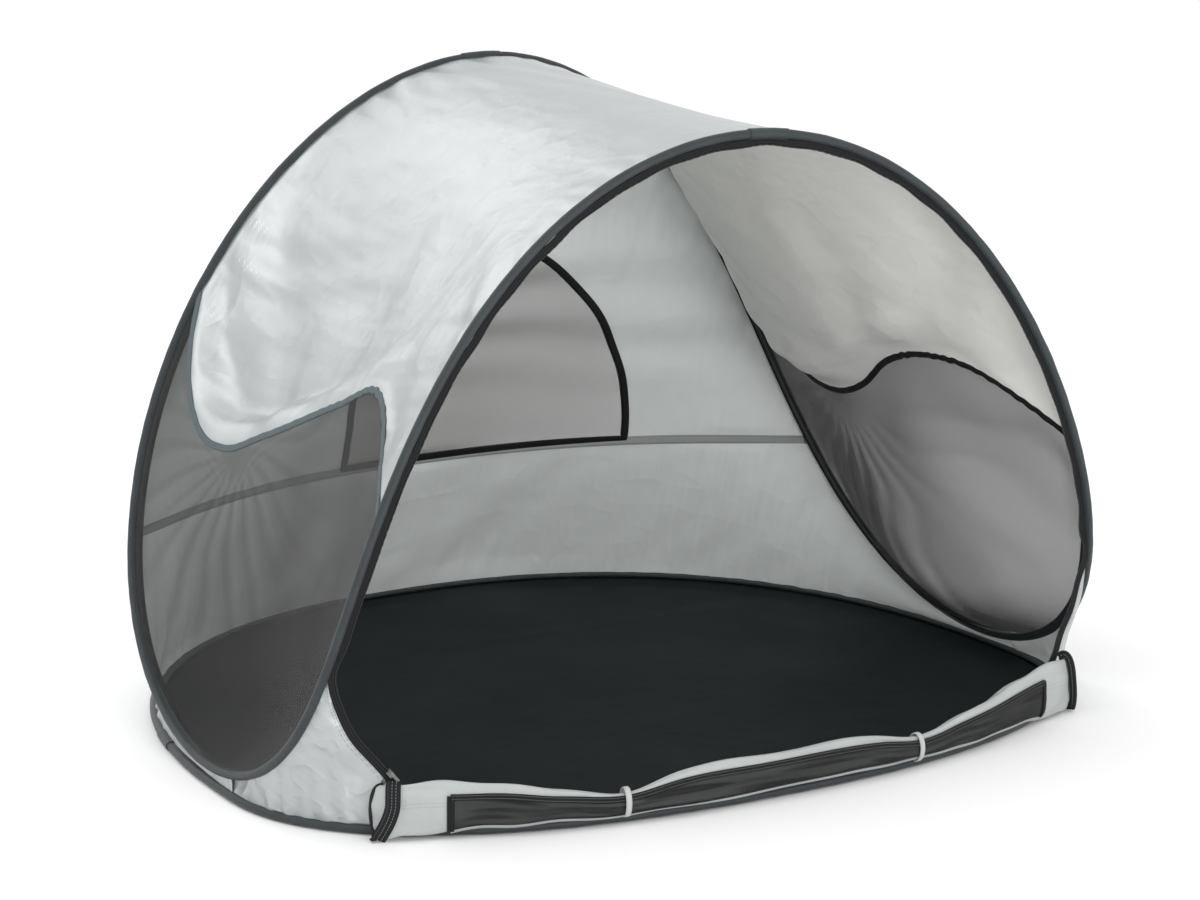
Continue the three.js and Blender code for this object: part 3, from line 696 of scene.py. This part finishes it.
def upper_wall():
    """From the seam up to the rear arch, with the window cut out and its mesh lapped over the edge."""
    a = np.radians(np.linspace(38.3, 141.7, 260))[:, None] * np.ones((1, 150))
    low = np.minimum(wall_share(a, SEAM_Z), 0.994)
    share = low + (0.996 - low) * np.linspace(0, 1, 150)[None]
    points = wall_point(a, share)
    lift = wall_folds(points, share, a)
    lift *= ramp(points[..., 2], SEAM_Z, 0.31) * (1 - ramp(share, 0.93, 1))
    coords = np.stack([a * REACH["cloth"], points[..., 2], 0 * share], -1)
    middle = (points[1:, 1:] + points[:-1, :-1]) / 2
    opening = in_window(middle[..., 0], middle[..., 2])
    lapped = in_window(middle[..., 0], middle[..., 2], 0.002)
    sheet("rear_wall_upper", points, [SILVER_OUT, SILVER_IN], ("rear_wall_upper",),
          coords, lift=lift, keep=~opening)
    inwards = np.array([0, -0.0012, 0])
    sheet("rear_window_mesh", points + inwards, [NET_REAR, NET_REAR], ("rear_window_mesh",),
          coords, lift=lift, keep=lapped, thick=NET_THICKNESS)
    return points, lift


def window_binding(points, lift):
    """Tape all round the quarter window, laid on the wall's own surface."""
    left, bottom = WINDOW["left"], WINDOW["bottom"] - 0.004
    width, height = WINDOW["width"], WINDOW["height"]
    arc = np.linspace(0, math.pi / 2, 90)
    x = np.concatenate([np.linspace(left, left + width, 90)[:-1], left + width * np.cos(arc),
                        np.full(80, left)])
    z = np.concatenate([np.full(89, bottom), bottom + height * np.sin(arc),
                        np.linspace(bottom + height, bottom, 82)[1:-1]])
    y = np.empty_like(x)
    flat = points.reshape(-1, 3)
    raised = flat[:, 1] + lift.reshape(-1)
    for k in range(len(x)):
        near = (flat[:, 0] - x[k]) ** 2 + (flat[:, 2] - z[k]) ** 2
        best = np.argsort(near)[:10]
        around = np.stack([np.ones(10), flat[best, 0] - x[k], flat[best, 2] - z[k]], -1)
        y[k] = np.linalg.lstsq(around, raised[best], rcond=None)[0][0]
    middle = np.array([left + width * 0.4, y.mean(), bottom + height * 0.4])
    for name, offset, node in (("rear_window_binding", -0.0026, ("rear_window_binding",)),
                               ("rear_window_binding_outside", 0.0026, ())):
        line = np.stack([x, y + offset, z], -1)
        strip(name, line, middle - line, oval(0.0065, 0.0018, 10, 0.6), [BLACK], node,
              closed=True)


# ---- roof and side netting ----
def roof_sag(t, share):
    """How far the roof and its netting hang in from straight between the arches."""
    degrees = np.degrees(t)
    climb = np.where(degrees <= 90, degrees - through(EDGE_RIGHT, share),
                     180 - degrees - through(EDGE_LEFT, share))
    side = np.abs(np.cos(t))
    s = np.clip(share, 1e-6, 1 - 1e-6)
    from_tip = np.minimum(degrees, 180 - degrees)
    edge = (ROOF_SAG_TOP + (ROOF_SAG_SIDE - ROOF_SAG_TOP) * side) * 4 * s * (1 - s)
    edge = edge * ramp(from_tip, 0, TIP_FADE)
    depth = ROOF_BELLY["top"] + ROOF_BELLY["side"] * ramp(side, 0.05, 0.45)
    belly = depth * (s / ROOF_BELLY["at"]) ** ROOF_BELLY["power"] * (1 - s) / (1 - ROOF_BELLY["at"])
    return edge + (belly - edge) * ramp(climb, 0, 6)


def roof_point(t, share):
    low, high = upper(t), upper(-t)
    p = low + (high - low) * share[..., None]
    return p - roof_sag(t, share)[..., None] * np.stack([np.cos(t), 0 * t, np.sin(t)], -1)


def mesh_edge(side, share):
    """The angle of the roof's lower edge on one side."""
    if side == "right":
        return np.radians(through(EDGE_RIGHT, share))
    return math.pi - np.radians(through(EDGE_LEFT, share))


def roof_lift(points, t, share):
    """Tension folds that run down from the arches, broad unevenness, and puckers at the sleeves."""
    broad = 0.006 * uneven(points, 21, 0.40) * np.sin(math.pi * share)
    slant = share * 1.9 + t * 1.1 + 0.25 * uneven(points, 22, 0.35)
    tension = 0.0030 * np.sin(slant * 13) * ramp(np.abs(t - math.pi / 2), 0.10, 0.5)
    edge = np.minimum(share, 1 - share)
    along = t * REACH["roof"]
    pucker = 0.0042 * np.exp(-edge / 0.07) * uneven_along(along, 23, 0.032) * ramp(edge, 0, 0.03)
    pleat = 0.0055 * np.exp(-(1 - share) / 0.22) * uneven_along(along + (1 - share) * 0.2, 29, 0.05)
    return (broad + tension + pleat) * ramp(edge, 0.0, 0.04) + pucker


def roof():
    nu, nv = 240, 90
    share = np.linspace(0.004, 0.996, nv)[None] * np.ones((nu, 1))
    right, left = mesh_edge("right", share), mesh_edge("left", share)
    t = right + (left - right) * np.linspace(0, 1, nu)[:, None]
    points = roof_point(t, share)
    near_edge = np.minimum(t - right, left - t)
    lift = roof_lift(points, t, share) * ramp(near_edge, 0, 0.05)
    lift += 0.004 * np.exp(-near_edge / 0.10) * uneven(points, 24, 0.09) * ramp(near_edge, 0, 0.03)
    coords = np.stack([t * REACH["cloth"], share * ARCH_TO_ARCH, near_edge], -1)
    # its inner side uses the paler roof copy of the inside cloth: painted light
    sheet("roof_panel", points, [SILVER_OUT, SILVER_IN_ROOF_PAINTED_LIGHT], ("roof_panel",),
          coords, lift=lift)
    side_mesh("right", 0.03, NET_RIGHT)
    side_mesh("left", math.pi - 0.03, NET_LEFT)
    side_binding("right")
    side_binding("left")


def side_mesh(side, start, net):
    """Netting from near the tip up to the roof's edge, with rays that fan out from the edge's valley."""
    nu, nv = 90, 90
    share = np.linspace(0.004, 0.996, nv)[None] * np.ones((nu, 1))
    edge = mesh_edge(side, share)
    t = start + (edge - start) * np.linspace(0, 1, nu)[:, None]
    points = roof_point(t, share)
    at = np.array([0.7])
    valley = roof_point(mesh_edge(side, at), at)[0]
    spoke = np.arctan2(points[..., 2] - valley[2], points[..., 1] - valley[1])
    reach = np.linalg.norm(points - valley, axis=-1)
    fan = np.sin(spoke * 21 + 2.4 * uneven(points, 26, 0.16)) * (0.6 + 0.4 * uneven(points, 28, 0.25))
    rays = fan * ramp(reach, 0.02, 0.08) * np.exp(-reach / 0.24)
    from_edge = np.abs(edge - t)
    lift = (0.006 * uneven(points, 25, 0.22) + 0.0030 * rays) * ramp(from_edge, 0, 0.10)
    lift *= ramp(np.minimum(share, 1 - share), 0, 0.06)
    gathered = 0.8 * rays + 0.35 * np.exp(-reach / 0.04)
    coords = np.stack([t * REACH["cloth"], share * ARCH_TO_ARCH, gathered], -1)
    sheet(f"side_mesh_{side}", points, [net, net], (f"side_mesh_{side}",), coords,
          lift=lift, thick=NET_THICKNESS)


def side_binding(side):
    """Tape folded over the edge where roof and netting meet: slate outside, black inside."""
    along = np.linspace(0.006, 0.994, 240)
    run = np.linspace(0, 0.9, 240)
    edge = mesh_edge(side, along)
    line = roof_point(edge, along)
    tangent = unit(np.gradient(line, axis=0))
    in_surface = roof_point(edge + 0.008, along) - roof_point(edge - 0.008, along)
    outwards = np.cross(tangent, in_surface)
    outwards = unit(outwards * np.sign((outwards * (line - TENT_CENTRE)).sum(-1, keepdims=True)))
    wobble = 0.0006 * uneven_along(run, 27, 0.03)
    scallop = 0.0016 * uneven_along(run, 30, 0.022) * ramp(0.5 - along, 0, 0.2)
    line = line + outwards * wobble[:, None] + unit(in_surface) * scallop[:, None]
    section = oval(0.0060, 0.0021, 12, 0.7)
    height = section[:, 1] + np.roll(section[:, 1], -1)
    if (np.cross(tangent, across(tangent, in_surface)) * outwards).sum() < 0:
        height = -height
    slots = [0 if h > -1e-9 else 1 for h in height]
    strip(f"side_mesh_binding_{side}", line, in_surface, section, [SLATE, BLACK],
          (f"side_mesh_binding_{side}",), slots=slots)


# ---- front gussets and zip ----
def front_point(t, share):
    low, high = upper(t), ground(t)
    return low + (high - low) * share[..., None]


def zip_edge(share):
    return np.radians(ZIP_EDGE["arch"] + ZIP_EDGE["swing"] * share ** ZIP_EDGE["power"])


def gusset(side):
    nu, nv = 70, 60
    share = np.linspace(0.01, 0.985, nv)[None] * np.ones((nu, 1))
    t = zip_edge(share) * np.linspace(0, 1, nu)[:, None]
    points = front_point(t, share)
    from_zip = np.abs(zip_edge(share) - t) * REACH["gusset"]
    from_ring = (1 - share) * np.linalg.norm(upper(t) - ground(t), axis=-1)
    along = t * REACH["gusset"] + from_ring * 0.25
    pucker = 0.0030 * np.exp(-from_ring / 0.045) * uneven_along(along, 41, 0.06)
    pucker = pucker * ramp(from_ring, 0, 0.012) * ramp(t, 0.10, 0.25) * ramp(from_zip, 0, 0.02)
    pull = 0.004 * np.sin(share * 17 + t * 9) * np.exp(-from_zip / 0.03)
    pull = pull * ramp(from_zip, 0, 0.016) * ramp(t, 0.05, 0.2)
    broad = 0.005 * uneven(points, 42, 0.12) * np.sin(math.pi * share) * ramp(from_zip, 0, 0.03)
    if side == "left":
        points = points * np.array([-1, 1, 1])
    coords = np.stack([points[..., 2] + t * 0.3, from_zip, from_ring], -1)
    sheet(f"gusset_{side}", points, [GUSSET_OUT, SILVER_IN], (f"gusset_{side}",),
          coords, lift=pucker + pull + broad)


def tip_seams():
    """The short felled seam that joins the wall to the gusset under each arch tip."""
    for side, t in (("right", 0.0), ("left", math.pi)):
        high, low = upper(np.array([t]))[0], ground(np.array([t]))[0]
        line = np.linspace(high, low, 10)
        strip(f"tip_seam_{side}", line, np.array([[0.0, 1.0, 0.0]]), oval(0.0060, 0.0009, 10, 0.6),
              [SILVER_OUT])


def zip_line(count=420):
    """From the foot of the left gusset, over the front arch, to the foot of the right one."""
    share = np.linspace(0.86, 0.04, 90)
    edge = front_point(zip_edge(share), share)
    t = np.linspace(math.radians(149), math.radians(31), 300)
    arch = upper(t)
    arch = arch + 0.0118 * across(tangent_of(upper, t), OPENING_CENTRE - arch)
    line = np.concatenate([edge * np.array([-1, 1, 1]), arch, edge[::-1]])
    run = np.concatenate([[0], np.cumsum(np.linalg.norm(np.diff(line, axis=0), axis=1))])
    even = np.linspace(0, run[-1], count)
    line = np.stack([np.interp(even, run, line[:, k]) for k in range(3)], -1)
    for _ in range(12):
        line[1:-1] = (line[:-2] + 2 * line[1:-1] + line[2:]) / 4
    slack = 1 + 1.3 * ramp(even / run[-1], 0.80, 0.90)
    from_foot = np.minimum(even, run[-1] - even)
    wobble = 0.0011 * slack * uneven_along(even, 51, 0.10) * ramp(from_foot, 0, 0.05)
    inwards = across(unit(np.gradient(line, axis=0)), OPENING_CENTRE - line)
    return line + inwards * wobble[:, None], even


def zips():
    line, run = zip_line()
    inwards = across(unit(np.gradient(line, axis=0)), OPENING_CENTRE - line)
    strip("door_zip_tape", line, inwards, oval(0.0056, 0.0009, 10, 0.6), [BLACK],
          ("door_zip_tape",))
    tooth = 0.0011 + 0.0003 * np.sin(run * 2 * math.pi / 0.012)
    section = oval(1.0, 1.0, 8)[None] * tooth[:, None, None]
    strip("door_zip_coil", line + inwards * 0.0066, inwards, section, [COIL],
          ("door_zip_coil",))


# ---- folded door ----
def bump(x):
    return np.where(np.abs(x) < 1, (1 + np.cos(math.pi * np.clip(x, -1, 1))) / 2, 0)


def door_section(degrees):
    """Half sizes and place of the roll's oval section at a ring angle."""
    from_end = np.minimum(degrees, 180 - degrees) - DOOR_END
    flare = bump(np.clip(from_end / 12, 0, 1))
    pinch = np.maximum(bump((degrees - TIE_RIGHT) / 12), bump((degrees - TIE_LEFT) / 12))
    sway = 0.0012 * uneven_along(degrees * DOOR_RUN, 61, 0.16) * (1 - pinch) * (1 - flare)
    height = through(DOOR_HALF_HEIGHT, degrees) + sway
    return dict(height=height, depth=0.012 - 0.003 * flare - 0.003 * pinch,
                centre_z=through(DOOR_FOOT, degrees) + height, outward=0.007 + 0.021 * flare,
                pinch=pinch)


def door_skin(degrees, turn, lift=0.0):
    """Points on the roll's skin, or lifted off it."""
    s = door_section(degrees)
    t, angle = np.radians(degrees), np.radians(turn)
    out = s["outward"] + (s["depth"] + lift) * np.cos(angle)
    p = ground(t) + out_of_ring(t) * out[..., None]
    p[..., 2] = s["centre_z"] + (s["height"] + lift) * np.sin(angle)
    return p


def door_folds(degrees, turn):
    """Creases that gather at the ties and slacken between them."""
    run = degrees * DOOR_RUN
    round_x = 0.030 * np.cos(np.radians(turn))
    round_y = 0.030 * np.sin(np.radians(turn))
    pinch = door_section(degrees)["pinch"]
    gather = 0.0026 * uneven(np.stack([run * 0.18, round_x, round_y], -1), 62, 0.020)
    slack = 0.0028 * uneven(np.stack([run, round_x, round_y], -1), 63, 0.075)
    from_end = ramp(np.minimum(degrees, 180 - degrees), DOOR_END, DOOR_END + 3)
    return (gather * (0.7 + 0.5 * pinch) + slack * (1 - pinch)) * from_end


def door_window_mesh():
    """The door's mesh window on the face of the roll, darker where it gathers along its length."""
    nu, nv = 380, 30
    low = DOOR_MESH_TURN[0]
    degrees = np.linspace(*DOOR_MESH, nu)[:, None] * np.ones((1, nv))
    turn = np.linspace(*DOOR_MESH_TURN, nv)[None] * np.ones((nu, 1))
    points = door_skin(degrees, turn, 0.0022 + door_folds(degrees, turn))
    inner = door_skin(degrees, turn, -0.006)
    run = degrees * DOOR_RUN
    fine = uneven(np.stack([run * 0.14, turn * DOOR_ROUND, 0 * run], -1), 64, 0.012)
    broad = uneven(np.stack([run, turn * DOOR_ROUND / 2, 0 * run], -1), 65, 0.09)
    coords = np.stack([run, (turn - low) * DOOR_ROUND, fine + 0.5 * broad], -1)
    sheet("door_window_mesh", points, [NET_DOOR, NET_DOOR], ("door_window_mesh",), coords,
          centre=inner.mean((0, 1)))


def door_body():
    """The folded cloth as one closed bundle."""
    n, m = 420, 72
    degrees = np.linspace(DOOR_END, 180 - DOOR_END, n)[:, None] * np.ones((1, m))
    turn = (np.arange(m) * 360 / m)[None] * np.ones((n, 1))
    points = door_skin(degrees, turn, door_folds(degrees, turn) - 0.0006)
    points[..., 2] = np.maximum(points[..., 2], 0.0015)
    signed = np.where(turn > 180, turn - 360, turn)
    coords = np.stack([degrees * DOOR_RUN, turn * DOOR_ROUND, signed * DOOR_ROUND], -1)
    flat = points.reshape(-1, 3)
    faces = facing_out(flat, tube_faces(n, m))
    obj = new_object("door_roll", flat, faces, [DOOR_CLOTH], np.zeros(len(faces)), coords.reshape(-1, 3))
    finish_piece(obj, ("door_roll",))


def door():
    door_body()
    door_window_mesh()
    door_trim()
    for side, end, way in (("right", DOOR_END, 1), ("left", 180 - DOOR_END, -1)):
        door_end_tape(side, end, way)
        door_end_loop(side, end, way)
    ties()


def door_trim():
    """Binding along and across the mesh window, and the piping below it."""
    low, high = DOOR_MESH
    degrees = np.linspace(low, high, 260)
    for name, turn, width, material, slot in (
            ("door_window_binding", 27, 0.0050, BLACK_SEWN, "black_binding"),
            ("door_piping", -60, 0.0030, GREY_TAPE, "seam_tape")):
        at = np.full_like(degrees, turn)
        line = door_skin(degrees, at, 0.0024 + door_folds(degrees, at))
        upward = door_skin(degrees, at + 12, 0.0024) - door_skin(degrees, at - 12, 0.0024)
        strip(name, line, upward, oval(width, 0.0016, 10, 0.7), [material], (name,))
    for side, end in (("right", low), ("left", high)):
        turn = np.linspace(-56, 30, 30)
        at = np.full_like(turn, end)
        line = door_skin(at, turn, 0.0024 + door_folds(at, turn))
        along = tangent_of(ground, np.radians(np.array([end])))
        strip(f"door_window_end_{side}", line, along, oval(0.0055, 0.0013, 10, 0.7), [BLACK])


def door_end_tape(side, end, way):
    """Zip tape round an end of the roll: it lies flat on the left, and stands on edge on the right."""
    flat = side == "left"
    turn = np.linspace(-86, 96, 60) if flat else np.linspace(-128, 116, 80)
    degrees = end + way * (1.4 - 2.6 * ramp(-turn, -20, 80))
    line = door_skin(degrees, turn, 0.0022 if flat else 0.0050)
    along = tangent_of(ground, np.radians(np.array([end])))
    width_way = along if flat else line - door_skin(degrees, turn)
    line[:, 2] = np.maximum(line[:, 2], 0.0045 if flat else 0.009)
    strip(f"door_end_tape_{side}", line, width_way, oval(END_TAPE_WIDTH[side] / 2, 0.0013, 14, 0.6),
          [END_TAPE], (f"door_end_tape_{side}",))


def door_end_loop(side, end, way):
    """The back layer of the roll, which curls out past its end and back to the tape."""
    nu, nv = 34, 40
    reach = np.linspace(0, 1, nu)[:, None] * np.ones((1, nv))
    turn = np.linspace(-80, 88, nv)[None] * np.ones((nu, 1))
    round_off = np.cos(np.radians(turn)) ** 0.55
    degrees = end - way * 2.6 * reach * round_off
    points = door_skin(np.full_like(degrees, end), turn, -0.004)
    shift = ground(np.radians(degrees)) - ground(np.radians(np.full_like(degrees, end)))
    back = out_of_ring(np.radians(np.array([end])))[0]
    points = points + shift - back * (0.012 * reach)[..., None]
    points[..., 2] = np.maximum(points[..., 2] - 0.002 * reach, 0.003)
    coords = np.stack([reach * 0.03, turn * DOOR_ROUND, reach], -1)
    sheet(f"door_end_loop_{side}", points, [DOOR_CLOTH, DOOR_CLOTH], (), coords,
          lift=0.001 * np.sin(turn * 0.12) * reach)
    strip(f"door_end_piping_{side}", points[-1], back, oval(0.0030, 0.0030, 8), [BLACK])


def ties():
    for side, at in (("right", TIE_RIGHT), ("left", TIE_LEFT)):
        turn = np.linspace(-150, 190, 60)
        degrees = np.full_like(turn, at)
        line = door_skin(degrees, turn, 0.0056)
        along = tangent_of(ground, np.radians(np.array([at])))
        strip(f"door_tie_{side}", line, along, oval(0.0048, 0.0011, 12, 0.6), [WEBBING],
              (f"door_tie_{side}",))


# ---- stage ----
def stage():
    mesh = bpy.data.meshes.new("ground_plane")
    size = 60
    mesh.from_pydata([(-size, -size, 0), (size, -size, 0), (size, size, 0), (-size, size, 0)], [],
                     [(0, 1, 2, 3)])
    material = bpy.data.materials.new("pale_ground")
    material.use_nodes = True
    shader = material.node_tree.nodes["Principled BSDF"]
    shader.inputs["Base Color"].default_value = (0.97, 0.97, 0.97, 1)
    shader.inputs["Roughness"].default_value = 0.9
    mesh.materials.append(material)
    plane = bpy.data.objects.new("ground_plane", mesh)
    bpy.context.scene.collection.objects.link(plane)

    world = bpy.data.worlds.new("studio")
    world.use_nodes = True
    background = world.node_tree.nodes["Background"]
    background.inputs["Color"].default_value = (1, 1, 1, 1)
    background.inputs["Strength"].default_value = 1.05
    bpy.context.scene.world = world
    bpy.context.scene.view_settings.view_transform = "Standard"
    lamps = (("key", (-3.4, 0.4, 4.2), (0, 0.2, 0.6), 2.2, 36),
             ("front", (-0.3, -4.6, 1.3), (0, 0.5, 0.4), 2.2, 66),
             ("back", (-0.9, 4.4, 3.1), (0, 0.3, 0.6), 2.8, 28))
    for name, place, aim, size, power in lamps:
        lamp = bpy.data.lights.new(name, "AREA")
        lamp.energy = power
        lamp.size = size
        obj = bpy.data.objects.new(name, lamp)
        obj.location = place
        obj.rotation_euler = (Vector(aim) - Vector(place)).to_track_quat("-Z", "Y").to_euler()
        bpy.context.scene.collection.objects.link(obj)


def camera():
    azimuth = math.radians(-31.33)
    elevation = math.radians(13.98)
    roll = 0.0091
    distance = 6.078
    target = Vector((-0.0869, 0, 0.4665))
    towards = Vector((math.sin(azimuth) * math.cos(elevation), -math.cos(azimuth) * math.cos(elevation),
                      math.sin(elevation)))
    place = target + distance * towards
    data = bpy.data.cameras.new("photo_view")
    data.lens = 115.1
    obj = bpy.data.objects.new("photo_view", data)
    obj.location = place
    obj.rotation_euler = (target - place).to_track_quat("-Z", "Y").to_euler()
    obj.rotation_euler.rotate_axis("Z", roll)
    bpy.context.scene.collection.objects.link(obj)
    bpy.context.scene.camera = obj


def zip_pull():
    for node in ("zip_slider", "zip_puller"):
        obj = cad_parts[node]
        obj.data.materials.clear()
        obj.data.materials.append(ZIP_METAL)


hoops()
arch_binding()
ferrule("base", ground, 197)
ferrule("arch", upper, 270)
sleeve_patch("base_sleeve_patch", ground, 197)
sleeve_patch("arch_sleeve_patch_rear", upper, 270)
sleeve_patch("arch_sleeve_patch_front", upper, 88)
floor()
rear_wall()
roof()
gusset("left")
gusset("right")
tip_seams()
zips()
door()
zip_pull()
stage()
camera()
